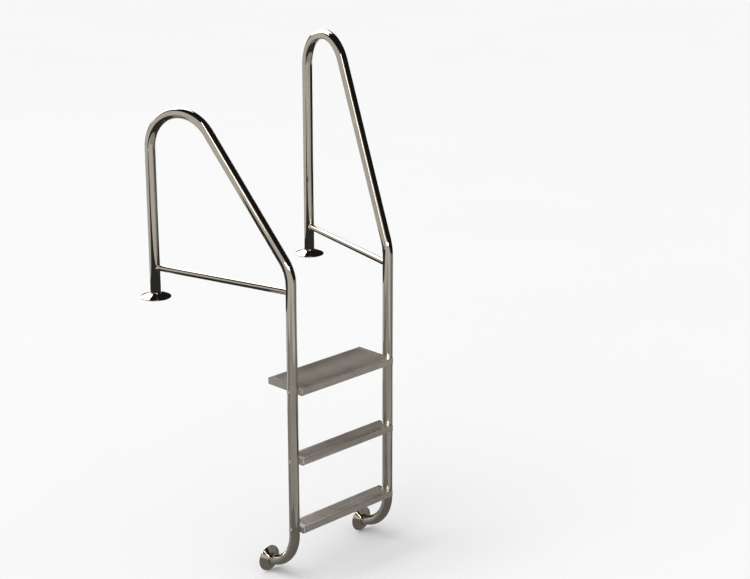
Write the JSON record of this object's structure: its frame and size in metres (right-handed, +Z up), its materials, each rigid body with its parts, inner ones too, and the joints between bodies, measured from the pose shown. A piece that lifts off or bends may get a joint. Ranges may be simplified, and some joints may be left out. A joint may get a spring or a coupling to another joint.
{
  "type": "pool ladder",
  "caption": "Swimming pool ladder of bent steel tube with flared handrails of unequal height, folded treads, deck covers and wall feet.",
  "frame": {"origin": "On the deck surface, midway between the centres of the two deck legs.", "axes": "+X along the treads towards the higher handrail, +Y away from the water, +Z up."},
  "size_m": [0.99, 0.751, 2.1468],
  "materials": {
    "polished_steel": "mirror-polished stainless steel, faintly warm",
    "end_plate_steel": "polished stainless sheet",
    "tread_steel": "satin stainless sheet with a pressed grip pattern",
    "flange_steel": "as-machined stainless plate",
    "fastener_steel": "bright stainless fasteners",
    "rubber": "matt black rubber",
    "brass": "plain brass"
  },
  "bodies": {
    "ladder": {"left_rail": "polished_steel", "right_rail": "polished_steel", "left_brace": "polished_steel", "right_brace": "polished_steel", "left_deck_flange": "flange_steel", "right_deck_flange": "flange_steel", "left_deck_gasket": "rubber", "right_deck_gasket": "rubber", "left_wall_flange": "flange_steel", "right_wall_flange": "flange_steel", "left_wall_gasket": "rubber", "right_wall_gasket": "rubber", "top_tread": "tread_steel", "middle_tread": "tread_steel", "bottom_tread": "tread_steel", "top_tread_left_end": "end_plate_steel", "top_tread_right_end": "end_plate_steel", "middle_tread_left_end": "end_plate_steel", "middle_tread_right_end": "end_plate_steel", "bottom_tread_left_end": "end_plate_steel", "bottom_tread_right_end": "end_plate_steel", "top_tread_stiffener": "tread_steel", "tread_bolts": "fastener_steel", "tread_saddle_washers": "fastener_steel", "tread_flat_washers": "fastener_steel", "tread_nuts": "fastener_steel", "bonding_screws": "brass"},
    "left_deck_cover": {"left_deck_cover": "polished_steel", "left_deck_cover_seal": "rubber"},
    "right_deck_cover": {"right_deck_cover": "polished_steel", "right_deck_cover_seal": "rubber"},
    "left_wall_cover": {"left_wall_cover": "polished_steel", "left_wall_cover_seal": "rubber"},
    "right_wall_cover": {"right_wall_cover": "polished_steel", "right_wall_cover_seal": "rubber"}
  },
  "joints": [
    {"name": "left_deck_cover_slide", "type": "slide", "parent": "ladder", "child": "left_deck_cover", "axis": [0, 0, 1], "range_m": [0, 0.09]},
    {"name": "right_deck_cover_slide", "type": "slide", "parent": "ladder", "child": "right_deck_cover", "axis": [0, 0, 1], "range_m": [0, 0.09]},
    {"name": "left_wall_cover_slide", "type": "hinge", "parent": "ladder", "child": "left_wall_cover", "pos_m": [-0.27, -0.485, -0.911], "axis": [-1, 0, 0], "range_deg": [0, 60]},
    {"name": "right_wall_cover_slide", "type": "hinge", "parent": "ladder", "child": "right_wall_cover", "pos_m": [0.27, -0.485, -0.911], "axis": [-1, 0, 0], "range_deg": [0, 60]}
  ]
}
